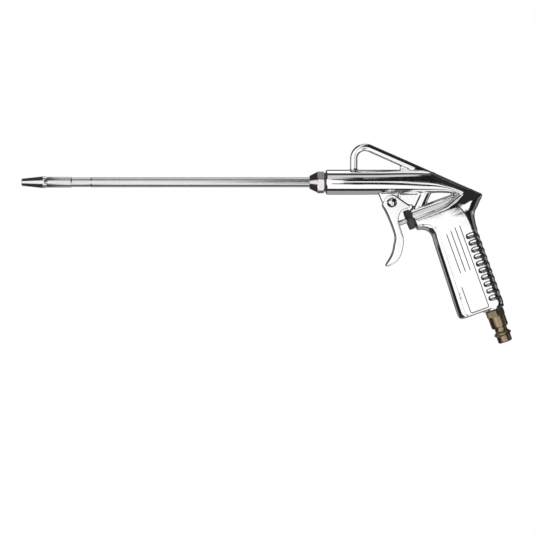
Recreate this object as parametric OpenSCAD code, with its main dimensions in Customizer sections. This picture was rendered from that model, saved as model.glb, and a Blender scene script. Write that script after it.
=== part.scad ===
// Pneumatic air duster with a long nozzle: a die-cast pistol body, a lever trigger,
// a push valve in the neck and a quick-coupling plug at the foot of the grip.
// The nozzle's mouth is the origin, the barrel runs along +X and the grip hangs down.

/* [Nozzle] */
// Distance from the nozzle's mouth to the barrel's front face
nozzle_reach = 243; // [160:1:400]
// Outside diameter of the nozzle tube
tube_d = 8; // [7:0.1:9]
// Bore of the nozzle tube
tube_bore_d = 6; // [5:0.1:6.4]
// Length of the tip's visible cone and shoulder
tip_head_len = 20.8; // [14:0.1:30]
// Diameter of the tip at its mouth
tip_mouth_d = 5.8; // [5.4:0.1:7]
// Largest diameter of the tip, at its shoulder
tip_shoulder_d = 9.4; // [8.6:0.1:11]
// Bore of the tip
tip_bore_d = 4; // [2:0.1:4.6]
// How much the tube swells over the tip's shank, ahead of the crimped band
tube_swell = 0.25; // [0:0.05:0.4]
// Start of the crimped band, from the mouth
crimp_start = 39.6; // [32:0.1:50]
// Length of the crimped band
crimp_len = 16.6; // [8:0.1:24]
// How deep the crimp presses into the tube
crimp_depth = 0.2; // [0.1:0.05:0.35]
// Wrench size of the nozzle nut
nozzle_nut_af = 16; // [15:0.5:19]
// Length of the nozzle nut's hexagon
nozzle_nut_hex_len = 5.4; // [4:0.1:8]
// Length of the nozzle nut's cone
nozzle_nut_cone_len = 6.2; // [4:0.1:9]
// Front diameter of the nozzle nut's cone
nozzle_nut_front_d = 10.4; // [10:0.1:12]
// Turn of the nozzle nut about the barrel's axis
nozzle_nut_turn = 12.5; // [0:0.5:60]
// Thread diameter of the nozzle nut and of the barrel's mouth
nozzle_thread_d = 12; // [11.6:0.1:13]
// Length of the nozzle nut's thread
nozzle_thread_len = 9; // [7:0.1:11]
// Thickness of the nozzle's flat washer
nozzle_washer_t = 1.2; // [0.8:0.1:2]

/* [Barrel] */
// Outside diameter of the barrel
barrel_d = 20; // [19:0.1:22]
// Edge break at the barrel's mouth
barrel_chamfer = 0.8; // [0.3:0.1:1.2]
// Length of the straight round part of the barrel
barrel_round_len = 30; // [24:1:40]
// Bore of the barrel behind the nozzle
barrel_bore_d = 8; // [6:0.1:8.6]

/* [Hanging loop] */
// Centre of the loop's bend behind the barrel's face
loop_x = 31.6; // [28:0.1:36]
// Centre of the loop's bend above the barrel's axis
loop_z = 18.9; // [17:0.1:21]
// Outer radius of the loop's bend
loop_r = 12; // [10.5:0.1:13]
// Thickness of the loop's bar, seen from the side
loop_bar = 5.9; // [4.5:0.1:7]
// Width of the loop's bar across the gun
loop_width = 7; // [5:0.1:9]
// Slope of the ridge from the loop down to the tail
ridge_angle = 23.8; // [22:0.1:25]
// Distance from the barrel's face to the tip of the tail
tail_x = 126; // [124:0.1:129]

/* [Grip] */
// Tilt of the grip and of the valve
grip_angle = 20; // [17:0.5:23]
// Where the valve's axis meets the grip's axis, behind the barrel's face
knee_x = 103.7; // [102:0.1:106]
// Where the valve's axis meets the grip's axis, below the barrel's axis
knee_drop = 16.6; // [16:0.1:18]
// Length of the grip below the valve's axis
grip_len = 89.3; // [86:0.1:98]
// Grip ahead of its axis, at the top
grip_front = 26.8; // [25:0.1:28]
// Extra depth of the grip at its foot
grip_flare = 2.1; // [0:0.1:4]
// Grip behind its axis
grip_rear = 9; // [8.8:0.1:10]
// Thickness of the grip at the top
grip_t = 21.6; // [20:0.1:24]
// Thickness lost by each side on the way down
grip_draft = 1.3; // [0:0.1:1.6]
// Width of the rounding along the grip's front edge
front_round = 5.4; // [4:0.1:7]
// Width of the rounding along the grip's rear edge
rear_round = 5.8; // [4.6:0.1:6.6]

/* [Finger grooves] */
// Number of grooves across the rear edge
groove_count = 10; // [4:1:10]
// Distance from one groove to the next
groove_pitch = 5.83; // [5:0.01:6]
// Height of a groove
groove_h = 3.2; // [2.4:0.1:4]
// Depth of a groove
groove_depth = 1.3; // [0.6:0.1:1.8]
// How far a groove reaches in from the rear edge
groove_reach = 10.6; // [8:0.1:12]
// First groove below the valve's axis
groove_first = 28.2; // [27:0.1:30]

/* [Side panel] */
// Front line of the engraved panel, ahead of the grip's axis
panel_front = 19; // [17:0.1:20]
// Rear line of the engraved panel, ahead of the grip's axis
panel_rear = 3.9; // [3.4:0.1:6]
// Top of the panel below the valve's axis
panel_top = 18; // [16:0.5:24]
// Edge left between the panel and the grip's foot
panel_foot = 2.6; // [2.2:0.1:6]
// Width of an engraved line
line_w = 0.5; // [0.3:0.05:0.8]
// Depth of an engraved line
line_depth = 0.35; // [0.2:0.05:0.6]
// Number of long lines inside the panel
line_count = 3; // [1:1:5]
// Length of the long lines inside the panel
line_len = 36; // [20:1:60]

/* [Valve] */
// Distance from the grip's axis to the face of the gland's hexagon
valve_reach = 41.5; // [41:0.1:43]
// Outside diameter of the valve boss
valve_boss_d = 15; // [14.4:0.1:16]
// Wrench size of the gland nut
gland_af = 16; // [15:0.1:17]
// Thickness of the gland nut's hexagon
gland_hex_t = 4.3; // [3.5:0.1:5]
// Thread diameter of the gland nut
gland_thread_d = 12; // [11.6:0.1:12.4]
// Length of the gland nut behind its hexagon
gland_thread_len = 7; // [6.6:0.1:8]
// Thickness of the gland's flat washer
gland_washer_t = 0.8; // [0.5:0.1:1.2]
// Diameter of the valve stem
stem_d = 4; // [3.6:0.1:4.2]
// Stem left showing ahead of the gland
stem_out = 9.7; // [9:0.1:9.9]
// Diameter of the stem's neck inside the seat
neck_d = 3; // [2.7:0.1:3.2]
// Diameter of the stem's threaded end
stem_thread_d = 2.4; // [2:0.1:2.5]
// Outside diameter of the seat sleeve
sleeve_d = 10; // [9.6:0.1:10.6]
// Length of the seat sleeve
sleeve_len = 8.2; // [7.6:0.1:9]
// Bore of the valve seat
seat_d = 5.2; // [4.6:0.1:5.4]
// Diameter of the poppet
poppet_d = 7.8; // [7.2:0.1:8]
// Bore of the spring chamber
chamber_d = 9; // [8.8:0.1:9.4]
// Length of the valve spring at rest
spring_len = 9.3; // [8.6:0.1:11]
// Outside diameter of the valve spring
spring_d = 7.4; // [7.2:0.1:7.6]
// Wire diameter of the valve spring
spring_wire = 0.7; // [0.5:0.05:0.75]
// Number of curls in the valve spring
spring_curls = 6; // [5:1:7]

/* [Air passages] */
// Passage from the spring chamber to the grip
duct_d = 6; // [5:0.1:6.4]
// Bore along the grip
grip_bore_d = 8; // [6:0.1:9]
// Passage up the post to the barrel
post_bore_d = 3.2; // [2.4:0.1:3.4]
// Diameter of the post between the valve and the barrel
post_d = 9.4; // [9:0.1:10.4]

/* [Trigger] */
// Trigger pivot ahead of the gland nut's face
pivot_ahead = 12.1; // [11.6:0.1:12.6]
// Trigger pivot below the barrel's axis
pivot_drop = 16.3; // [16:0.1:17]
// Width of the trigger
trigger_w = 15; // [14.4:0.1:17]
// Wall of the trigger
trigger_wall = 2.2; // [1.8:0.05:2.3]
// Radius of the trigger's ears
ear_r = 6.5; // [6:0.1:6.8]
// Diameter of the trigger pin
pin_d = 5; // [4:0.1:6]
// Diameter of the pin's domed head
pin_head_d = 8.4; // [7.4:0.1:10]
// Height of the pin's domed head
pin_head_h = 2.4; // [1.6:0.1:3]
// Thickness of the clip that holds the pin
clip_t = 1; // [0.6:0.1:1.4]

/* [Inlet plug] */
// Wrench size of the plug
plug_af = 14; // [13.4:0.1:16]
// Length of the plug's hexagon
plug_hex_len = 4.8; // [4:0.1:7]
// Diameter of the plug's body
plug_body_d = 13.8; // [13:0.1:14]
// Length of the plug from its hexagon to its nose
plug_len = 26.6; // [26:0.1:32]
// Diameter of the plug's neck
plug_neck_d = 10; // [9.4:0.1:11]
// Diameter of the plug's locking ridge
plug_ridge_d = 13.9; // [13:0.1:14.4]
// Diameter of the plug's nose
plug_nose_d = 11.4; // [11:0.1:12]
// Length of the plug's nose
plug_nose_len = 5.3; // [4.6:0.1:7]
// Bore of the plug
plug_bore_d = 7.4; // [6:0.1:8]
// Thread diameter of the plug
plug_thread_d = 13; // [12.4:0.1:13.4]
// Length of the plug's thread
plug_thread_len = 10; // [8:0.1:12]
// Thickness of the plug's washer
plug_washer_t = 1; // [0.6:0.1:1.6]

/* [Fits] */
// Gap between pieces that screw or slide together and then stay
seat_gap = 0.1; // [0.05:0.05:0.15]
// Gap round the pieces that move
run_gap = 0.05; // [0.03:0.01:0.08]
// Gap on each side of the lug between the trigger's ears
side_gap = 0.3; // [0.2:0.05:0.5]

/* [Hidden] */
$fn = 64;
big = 200;

// Values along a smooth curve through evenly spaced stations, each split into steps
function curve_point(a, b, c, d, t) = 0.5 * (2 * b + (c - a) * t
    + (2 * a - 5 * b + 4 * c - d) * t * t + (3 * b - a - 3 * c + d) * t * t * t);
function open_curve(pts, steps) = let (last = len(pts) - 1) concat(
    [for (i = [0:last - 1], k = [0:steps - 1]) curve_point(
        pts[max(i - 1, 0)], pts[i], pts[i + 1], pts[min(i + 2, last)], k / steps)],
    [pts[last]]);
// The same for outline points, which may lie at uneven distances
function bend_point(a, b, c, d, t) = let (
    reach = norm(c - b), start = reach * unit(c - a), end = reach * unit(d - b))
    (2 * t * t * t - 3 * t * t + 1) * b + (t * t * t - 2 * t * t + t) * start
    + (3 * t * t - 2 * t * t * t) * c + (t * t * t - t * t) * end;
function outline(pts, steps) = let (last = len(pts) - 1) concat(
    [for (i = [0:last - 1], k = [0:steps - 1]) bend_point(
        pts[max(i - 1, 0)], pts[i], pts[i + 1], pts[min(i + 2, last)], k / steps)],
    [pts[last]]);
function arc_points(centre, r, from, to, steps) =
    [for (k = [0:steps]) let (a = from + (to - from) * k / steps)
        centre + r * [cos(a), sin(a)]];
function unit(v) = v / norm(v);
// The direction square to a closed outline at point i, to its right-hand side
function square_to(pts, i) = let (n = len(pts), d = unit(pts[(i + 1) % n] - pts[(i + n - 1) % n]))
    [d[1], -d[0]];

// A solid with rounded edges: an outline at the middle that closes in to a smaller one
// on both flat sides, which are drawn as fans about the hubs. Thickness changes evenly
// with height by the share per millimetre.
module pillow(outer, inner, hubs, edge_half, half, share = 0, rings = 5) {
    n = len(outer);
    levels = concat([for (k = [rings:-1:0]) [-1, 90 * k / rings]],
        [for (k = [0:rings]) [1, 90 * k / rings]]);
    last = len(levels) - 1;
    rim = [for (level = levels, i = [0:n - 1]) let (
        p = outer[i] + (inner[i] - outer[i]) * (1 - cos(level[1])),
        y = level[0] * (edge_half + (half - edge_half) * sin(level[1])))
        [p[0], y * (1 + share * p[1]), p[1]]];
    centres = [for (side = [-1, 1], c = hubs) [c[0], side * half * (1 + share * c[1]), c[1]]];
    near = [for (p = inner) let (gaps = [for (c = hubs) norm(c - p)])
        len(rim) + search(min(gaps), gaps)[0]];
    walls = [for (k = [0:last - 1], i = [0:n - 1]) let (j = (i + 1) % n)
        [k * n + i, k * n + j, (k + 1) * n + j, (k + 1) * n + i]];
    ends = [for (i = [0:n - 1]) let (j = (i + 1) % n, a = near[i], b = near[j], top = len(hubs))
        each concat([[a, j, i], [a + top, last * n + i, last * n + j]],
            a == b ? [] : [[a, b, j], [a + top, last * n + j, b + top]])];
    polyhedron(concat(rim, centres), concat(walls, ends), convexity = 6);
}

// A solid through closed rings of equal length, with flat ends
module loft(rings) {
    n = len(rings[0]);
    last = len(rings) - 1;
    walls = [for (k = [0:last - 1], i = [0:n - 1]) let (j = (i + 1) % n, a = k * n, b = a + n)
        each [[a + i, b + i, b + j], [a + i, b + j, a + j]]];
    polyhedron([for (ring = rings, p = ring) p], concat(walls,
        [[for (i = [0:n - 1]) i]], [[for (i = [n - 1:-1:0]) last * n + i]]), convexity = 6);
}

module rounded_square(size, r) {
    square([size[0], size[1] - 2 * r], center = true);
    square([size[0] - 2 * r, size[1]], center = true);
    for (x = [-1, 1], y = [-1, 1])
        translate([x * (size[0] / 2 - r), y * (size[1] / 2 - r)]) circle(r);
}

module side_plate(points, thickness) {
    rotate([90, 0, 0]) linear_extrude(thickness, center = true) polygon(points);
}

module hexagon(af, length, turn = 0) {
    rotate([0, 0, turn]) cylinder(d = af / cos(30), h = length, $fn = 6);
}

// Hexagon whose corners are cut back by a cone at the end away from the origin
module chamfered_hexagon(af, length, turn = 0) {
    intersection() {
        hexagon(af, length, turn);
        union() {
            cylinder(d = af / cos(30) + 0.2, h = length - 1.1);
            translate([0, 0, length - 1.1])
                cylinder(d1 = af / cos(30) + 0.2, d2 = af * 0.97, h = 1.1);
        }
    }
}

module ring(outer_d, inner_d, length) {
    difference() {
        cylinder(d = outer_d, h = length);
        translate([0, 0, -1]) cylinder(d = inner_d, h = length + 2);
    }
}

module o_ring(inner_d, wire) {
    rotate_extrude() translate([(inner_d + wire) / 2, 0]) circle(d = wire, $fn = 24);
}

// Frames: the gun's, at the barrel's face; the barrel's axis; the grip's, where the
// valve's axis meets the grip's; the valve's axis; the plug's axis; the trigger's pivot
module gun() { translate([nozzle_reach, 0, 0]) children(); }
module along_x(x) { gun() translate([x, 0, 0]) rotate([0, 90, 0]) children(); }
module grip() { gun() translate([knee_x, 0, -knee_drop]) rotate([0, -grip_angle, 0]) children(); }
module valve(s) { grip() translate([s - valve_reach, 0, 0]) rotate([0, 90, 0]) children(); }
module plug(s) { grip() translate([0, 0, plug_h - s]) rotate([180, 0, 0]) children(); }
module pivot() { gun() translate([pivot_x, 0, -pivot_drop]) children(); }
// A point of the gun's side view, seen in the grip's frame
function in_grip(p) = let (d = p - [knee_x, -knee_drop])
    [d[0] * cos(grip_angle) + d[1] * sin(grip_angle),
     -d[0] * sin(grip_angle) + d[1] * cos(grip_angle)];

// The ridge is tangent to the outside of the loop's bend
ridge_start = [loop_x + loop_r * sin(ridge_angle), loop_z + loop_r * cos(ridge_angle)];
function ridge_z(x) = ridge_start[1] - (x - ridge_start[0]) * tan(ridge_angle);
function ridge_point(back, under) = in_grip([tail_x, ridge_z(tail_x)]
    + back * [-cos(ridge_angle), sin(ridge_angle)]
    - under * [sin(ridge_angle), cos(ridge_angle)]);
spine_proud = 0.4;
barrel_r = barrel_d / 2;
ridge_turn_x = ridge_start[0] + (ridge_start[1] - barrel_r) / tan(ridge_angle) + 1.5;
boss_r = valve_boss_d / 2;
gland_face = [knee_x, -knee_drop] - valve_reach * [cos(grip_angle), sin(grip_angle)];
pivot_x = gland_face[0] - pivot_ahead;
boss_face = gland_hex_t + gland_washer_t;
boss_a = boss_face - valve_reach;
inlet_boss_r = grip_rear - 0.1;
inlet_boss_out = 1.2;
plug_h = -(grip_len + inlet_boss_out + plug_washer_t);

// Stations along the valve's axis, from the face of the gland's hexagon
gland_end = boss_face + gland_thread_len - gland_washer_t;
sleeve_start = gland_end + seat_gap;
sleeve_end = sleeve_start + sleeve_len;
seat_rim = 0.3;
seal_start = sleeve_end + seat_rim + 0.05;
seal_t = 1.4;
poppet_t = 1.7;
spring_start = seal_start + seal_t + poppet_t;
chamber_end = spring_start + spring_len;
register_d = 5.2;
register_len = 0.8;
nut_t = 1.8;
port_s = sleeve_start + 2.4;
stem_len = stem_out + spring_start + register_len + nut_t + 0.7;

// Outline of the grip in its own frame. Each station holds the point on the outer
// edge and the point where the flat side begins.
front_at = function (h) -grip_front - grip_flare * (-h - 27) / (grip_len - 27);
grip_stations = [
    [boss_a + 0.3, -8.8, boss_a + 1.2, -6.2],
    [boss_a + 1.1, -10.2, boss_a + 2.9, -6.8],
    [boss_a + 4.5, -11.1, boss_a + 6.2, -7.4],
    [-grip_front - 1.1, -14.2, -grip_front + 1.9, -10.2],
    [-grip_front + 0.4, -18.2, -grip_front + 4.9, -15.8],
    [-grip_front + 0.1, -24, -grip_front + front_round, -23],
    [front_at(-40), -40, front_at(-40) + front_round, -40],
    [front_at(-62), -62, front_at(-62) + front_round, -62],
    [front_at(4 - grip_len), 4 - grip_len, front_at(-80) + front_round, 4 - grip_len],
    [front_at(-80) + 0.5, 1.3 - grip_len, front_at(-80) + front_round + 0.3, 2.2 - grip_len],
    [front_at(-80) + 2.6, 0.1 - grip_len, front_at(-80) + front_round + 1.2, 1.5 - grip_len],
    [-16, -grip_len, -16, 1.2 - grip_len],
    [0, -grip_len, 0, 1.2 - grip_len],
    [grip_rear - 2.6, -grip_len, grip_rear - rear_round - 1, 1.3 - grip_len],
    [grip_rear - 0.5, 1.2 - grip_len, grip_rear - rear_round - 0.2, 2 - grip_len],
    [grip_rear, 4 - grip_len, grip_rear - rear_round, 4 - grip_len],
    [grip_rear, -60, grip_rear - rear_round, -60],
    [grip_rear, -32, grip_rear - rear_round, -32],
    [grip_rear + 0.3, -24, grip_rear - rear_round + 0.2, -23],
    [grip_rear + 0.9, -18.6, grip_rear - rear_round, -16.5],
    [grip_rear + 1.8, -14.8, grip_rear - rear_round - 0.9, -11],
    [grip_rear + 3.4, -11.6, grip_rear - rear_round - 2.4, -7.6],
    [grip_rear + 6.6, -8.7, grip_rear - rear_round - 3.8, -5.8],
    concat(ridge_point(0.4, 6), [-1.6, -5]),
    concat(ridge_point(0.2, 2), [-2.4, -4.5]),
    concat(ridge_point(1.2, spine_proud), [-3.1, -4.2]),
    concat(ridge_point(6, spine_proud), [-3.9, -3.8]),
    concat(ridge_point(13, spine_proud), [-4.9, -3.5]),
    concat(ridge_point(17, 5), [-6, -3.2]),
    [0.5, 5.3, -7.5, -3],
    [-7, 2.2, -12, -2.9],
    [-16, 1, -20, -2.9],
    [boss_a + 0.3, 0.6, boss_a + 1.2, -3],
];
grip_outer = outline([for (s = grip_stations) [s[0], s[1]]], 3);
grip_inner = outline([for (s = grip_stations) [s[2], s[3]]], 3);
grip_edge_half = 4;
grip_hubs = [[-11, -4.7]];

// Cross-sections of the barrel's rear part, from the round front to the flat-sided tail:
// [distance, top, bottom, half width, height of the widest point, squareness]
barrel_sections = [
    [barrel_round_len - 1, barrel_r - 0.02, -barrel_r + 0.02, barrel_r - 0.02, 0, 2],
    [46, barrel_r - 0.02, -barrel_r + 0.2, barrel_r - 0.05, 0, 2.05],
    [64, barrel_r - 0.05, -barrel_r + 0.7, barrel_r - 0.15, -0.2, 2.25],
    [ridge_turn_x, ridge_z(ridge_turn_x) - spine_proud, -barrel_r + 1.2, barrel_r - 0.3, -0.8, 2.6],
    [92, ridge_z(92) - spine_proud, -barrel_r + 1.6, barrel_r - 0.4, -2.6, 2.7],
    [102, ridge_z(102) - spine_proud, -barrel_r + 0.8, barrel_r - 0.6, -6, 2.7],
    [110, ridge_z(110) - spine_proud, -barrel_r - 2.5, barrel_r - 1.4, -9, 2.6],
    [117, ridge_z(117) - spine_proud, -barrel_r - 5, barrel_r - 3, -11, 2.5],
];
function signed_power(v, e) = sign(v) * pow(abs(v), e);
function section_ring(s) = [for (k = [0:31]) let (
    c = cos(k * 11.25), z = sin(k * 11.25),
    reach = z > 0 ? s[1] - s[4] : s[4] - s[2])
    [s[0], s[3] * signed_power(c, 2 / s[5]), s[4] + reach * signed_power(z, 2 / s[5])]];

module barrel_form() {
    rotate([0, 90, 0]) {
        cylinder(d1 = barrel_d - 2 * barrel_chamfer, d2 = barrel_d, h = barrel_chamfer);
        translate([0, 0, barrel_chamfer])
            cylinder(d = barrel_d, h = barrel_round_len - barrel_chamfer);
    }
    loft([for (s = open_curve(barrel_sections, 3)) section_ring(s)]);
}

// The loop's bar: a leg on the barrel, a bend, and the arm that runs on as the spine.
// Its section is a rectangle of loop_width by loop_bar with rounded corners.
bar_corner = 1.8;
bar_steps = 14;
bar_mid_r = loop_r - loop_bar / 2;
bar_section = [for (q = [0:3], k = [0:5]) let (a = 90 * q + 18 * k)
    [(q % 3 == 0 ? 1 : -1) * (loop_width / 2 - bar_corner) + bar_corner * cos(a),
     (q < 2 ? 1 : -1) * (loop_bar / 2 - bar_corner) + bar_corner * sin(a)]];
function bar_ring(centre, a) = [for (p = bar_section)
    [centre[0] + p[1] * cos(a), p[0], centre[1] + p[1] * sin(a)]];
module loop_form() {
    turns = [for (k = [0:bar_steps]) 180 - (90 + ridge_angle) * k / bar_steps];
    arm_len = norm([tail_x, ridge_z(tail_x)] - ridge_start) - 1.2;
    bend = [for (a = turns) [loop_x, loop_z] + bar_mid_r * [cos(a), sin(a)]];
    arm_end = bend[bar_steps] + arm_len * [cos(ridge_angle), -sin(ridge_angle)];
    loft(concat([bar_ring([loop_x - bar_mid_r, barrel_r - 2.5], 180)],
        [for (k = [0:bar_steps]) bar_ring(bend[k], turns[k])],
        [bar_ring(arm_end, turns[bar_steps])]));
}

// The thin web in the loop's rear corner
web_half = 1.5;
module loop_web() {
    x0 = 59.5;
    side_plate([[x0, barrel_r - 2], [x0, ridge_z(x0) - loop_bar + 1],
        [ridge_turn_x, barrel_r - 2]], 2 * web_half);
}

// The lug that carries the trigger's pin, and the thinner web from it to the post
lug_half = trigger_w / 2 - trigger_wall - side_gap;
lug_r = 5;
module lug_form() {
    translate([pivot_x, 0, -pivot_drop]) side_plate(concat(
        [[5.2, pivot_drop - barrel_r + 3], [-11.2, pivot_drop - barrel_r + 3],
         [-7.5, 0.3], [-5.3, -0.5]],
        arc_points([0, 0], lug_r, 205, 330, 8), [[5.2, 0.5]]), 2 * lug_half);
    side_plate([[pivot_x + 3, -barrel_r + 3], [pivot_x + 3, -pivot_drop - 2.1],
        [pivot_x + 15, -pivot_drop - 2.5], [pivot_x + 22, -pivot_drop - 2.5],
        [pivot_x + 27, -barrel_r + 3]], 6);
}

post_foot = [9.3 - valve_reach, 3.6];
post_tilt = 45;
module post_form() {
    translate([post_foot[0], 0, post_foot[1]]) rotate([0, post_tilt, 0])
        cylinder(d = post_d, h = 27);
}

// Grooves across the rear edge: slots that leave a smaller core of the grip standing
module groove_cuts() {
    difference() {
        rotate([90, 0, 0]) linear_extrude(grip_t + 4, center = true)
            for (i = [0:groove_count - 1])
                translate([grip_rear - groove_reach + groove_h / 2, -groove_first - i * groove_pitch]) {
                    circle(d = groove_h);
                    translate([0, -groove_h / 2]) square([groove_reach + 2, groove_h]);
                }
        translate([(grip_rear - groove_depth) / 2 - 15, 0, -grip_len])
            linear_extrude(grip_len) rounded_square([grip_rear - groove_depth + 30,
                grip_t - 1.6 - 2 * groove_depth], rear_round - 0.6);
    }
}

// Places what it holds on the flat side, where local z is 0 and x and y lie in the face
draft_share = grip_draft / grip_len / (grip_t / 2);
module on_side(side) {
    translate([0, side * grip_t / 2, 0])
        rotate([90 + side * atan(grip_draft / grip_len), 0, 0]) children();
}

module engraved_line(from, to) {
    translate(from) circle(d = line_w, $fn = 16);
    translate(to) circle(d = line_w, $fn = 16);
    translate(from) rotate(atan2(to[1] - from[1], to[0] - from[0]))
        translate([0, -line_w / 2]) square([norm(to - from), line_w]);
}

module side_lines() {
    panel_r = 1.5;
    top = -panel_top;
    foot = panel_foot - grip_len;
    for (side = [-1, 1]) on_side(side) linear_extrude(2 * line_depth, center = true) {
        engraved_line([-panel_rear, top], [-panel_rear, foot + panel_r]);
        engraved_line([-panel_front, foot + 22], [-panel_front, foot + panel_r]);
        engraved_line([-panel_front + panel_r, foot], [-panel_rear - panel_r, foot]);
        for (c = [[-panel_rear - panel_r, -90], [-panel_front + panel_r, -180]])
            translate([c[0], foot + panel_r]) intersection() {
                difference() {
                    circle(panel_r + line_w / 2);
                    circle(panel_r - line_w / 2);
                }
                rotate(c[1]) square(2 * panel_r);
            }
        for (i = [1:line_count]) let (
            a = -panel_rear - i * (panel_front - panel_rear - 3) / line_count)
            engraved_line([a, top - 1.5 * (i - 1)], [a, top - line_len]);
    }
}

module body_casting() color("gainsboro") {
    difference() {
        union() {
            gun() {
                barrel_form();
                loop_form();
                loop_web();
                lug_form();
            }
            grip() {
                post_form();
                pillow(grip_outer, grip_inner, grip_hubs, grip_edge_half, grip_t / 2, draft_share);
                translate([0, 0, -grip_len - inlet_boss_out])
                    cylinder(r = inlet_boss_r, h = 20);
            }
            valve(boss_face) cylinder(d = valve_boss_d, h = valve_reach - boss_face + 3);
            valve(valve_reach + 3) sphere(d = valve_boss_d);
        }
        grip() {
            groove_cuts();
            side_lines();
            translate([0, 0, -grip_len]) cylinder(d = grip_bore_d, h = grip_len + 4);
            translate([0, 0, plug_h]) cylinder(d = plug_thread_d + 2 * seat_gap,
                h = plug_thread_len + plug_washer_t + 1);
        }
        valve(boss_face - 1) cylinder(d = gland_thread_d + 2 * seat_gap, h = sleeve_start - boss_face + 1);
        valve(boss_face) cylinder(d = sleeve_d + 2 * seat_gap, h = sleeve_end - boss_face);
        valve(boss_face) cylinder(d = chamber_d, h = chamber_end - boss_face);
        valve(boss_face) cylinder(d = duct_d, h = valve_reach - boss_face);
        along_x(-1) cylinder(d = nozzle_thread_d + 2 * seat_gap, h = barrel_seat_len + 1);
        along_x(0) cylinder(d = barrel_bore_d, h = post_top_x + post_bore_d);
        gun() translate([post_top_x, 0, 0]) rotate([0, 180 + post_bore_tilt, 0])
            cylinder(d = post_bore_d, h = post_bore_len);
        pivot() rotate([90, 0, 0]) cylinder(d = pin_d + 0.04, h = big, center = true);
    }
}
post_bottom = [knee_x, -knee_drop] + (port_s - valve_reach) * [cos(grip_angle), sin(grip_angle)];
post_top_x = post_bottom[0] + 1.8;
post_bore_tilt = atan2(post_top_x - post_bottom[0], -post_bottom[1]);
post_bore_len = norm([post_top_x, 0] - post_bottom);

module nozzle_tube() color("silver") translate([tip_head_len, 0, 0]) rotate([0, 90, 0])
    rotate_extrude() {
        r = tube_d / 2;
        a = crimp_start - tip_head_len;
        b = a + crimp_len;
        polygon([[tube_bore_d / 2, 0], [r + tube_swell, 0], [r + 0.8 * tube_swell, a],
            [r - crimp_depth, a + 0.8],
            [r - crimp_depth, b - 0.5], [r, b], [r, tube_end - tip_head_len],
            [tube_bore_d / 2, tube_end - tip_head_len]]);
    }
collar_len = 2.4;
tube_end = nozzle_reach + nozzle_thread_len + collar_len;
// The O-ring lies between the tube's end and the step at the bottom of the barrel's seat
nozzle_ring_wire = (nozzle_thread_d - barrel_bore_d) / 2 - 0.06;
nozzle_ring_s = nozzle_thread_len + collar_len + 0.03;
barrel_seat_len = nozzle_ring_s + nozzle_ring_wire + 0.03;

module nozzle_tip() color("silver") rotate([0, 90, 0]) rotate_extrude() polygon([
    [tip_bore_d / 2, 0], [tip_mouth_d / 2 - 0.3, 0], [tip_mouth_d / 2, 0.3],
    [tip_shoulder_d / 2 - 0.1, tip_head_len * 0.77], [tip_shoulder_d / 2, tip_head_len * 0.86],
    [tube_d / 2 + 0.2, tip_head_len - seat_gap], [tube_bore_d / 2 - run_gap, tip_head_len - seat_gap],
    [tube_bore_d / 2 - run_gap, crimp_start + crimp_len], [tip_bore_d / 2, crimp_start + crimp_len]]);

module nozzle_collar() color("goldenrod") along_x(nozzle_thread_len + run_gap)
    ring(nozzle_thread_d - 1, tube_d + 2 * run_gap, collar_len - run_gap);

module nozzle_nut() color("gray") difference() {
    union() {
        along_x(-nozzle_washer_t - nozzle_nut_hex_len) {
            rotate([180, 0, 0]) cylinder(d1 = nozzle_nut_af + 0.6, d2 = nozzle_nut_front_d,
                h = nozzle_nut_cone_len);
            hexagon(nozzle_nut_af, nozzle_nut_hex_len, 90 - nozzle_nut_turn);
        }
        along_x(-nozzle_washer_t - 1)
            cylinder(d = nozzle_thread_d, h = nozzle_thread_len + nozzle_washer_t + 1);
    }
    along_x(-30) cylinder(d = tube_d + 4 * run_gap, h = 60);
}

module nozzle_washer() color("dimgray") along_x(-nozzle_washer_t + 0.02)
    ring(nozzle_nut_af - 1, nozzle_thread_d + 2 * seat_gap, nozzle_washer_t - 0.04);

module nozzle_o_ring() color("black")
    along_x(nozzle_ring_s + nozzle_ring_wire / 2) o_ring(barrel_bore_d + 0.16, nozzle_ring_wire);

module gland_nut() color("dimgray") difference() {
    union() {
        valve(gland_hex_t) rotate([180, 0, 0]) chamfered_hexagon(gland_af, gland_hex_t, 0);
        valve(gland_hex_t - 0.5) cylinder(d = gland_thread_d, h = gland_end - gland_hex_t + 0.5);
    }
    valve(-1) cylinder(d = stem_d + 2 * run_gap, h = gland_end + 2);
    valve(o_ring_s - o_ring_wire * 0.6) cylinder(d = stem_d + 2 * o_ring_wire + 0.5, h = o_ring_wire * 1.2);
}
o_ring_wire = 1.7;
o_ring_s = gland_hex_t + 3.2;

module stem_o_ring() color("black") valve(o_ring_s) o_ring(stem_d + 0.1, o_ring_wire);

module gland_washer() color("gray") valve(gland_hex_t + 0.02)
    ring(valve_boss_d - 0.6, gland_thread_d + 2 * seat_gap, gland_washer_t - 0.04);

module seat_sleeve() color("goldenrod") difference() {
    union() {
        valve(sleeve_start) cylinder(d = sleeve_d, h = sleeve_len);
        valve(sleeve_end - 0.5) cylinder(d = seat_d + 1.2, h = 0.5 + seat_rim);
    }
    valve(sleeve_start - 1) cylinder(d = seat_d, h = sleeve_len + 3);
    valve(sleeve_start - 1) cylinder(d = sleeve_d - 3, h = 5.4);
    valve(port_s) for (turn = [0, 90]) rotate([0, 0, turn]) rotate([0, 90, 0])
        cylinder(d = 2.6, h = sleeve_d + 2, center = true, $fn = 32);
    valve(port_s - 1.3) difference() {
        cylinder(d = sleeve_d + 2, h = 2.6);
        translate([0, 0, -1]) cylinder(d = sleeve_d - 1, h = 5);
    }
    valve(sleeve_end - 2.6) difference() {
        cylinder(d = sleeve_d + 2, h = 1.8);
        translate([0, 0, -1]) cylinder(d = sleeve_d - 2.2, h = 4);
    }
}

module sleeve_o_ring() color("black") valve(sleeve_end - 1.7)
    o_ring(sleeve_d - 2.2 + 0.06, 1.1 + seat_gap - 0.06);

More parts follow.
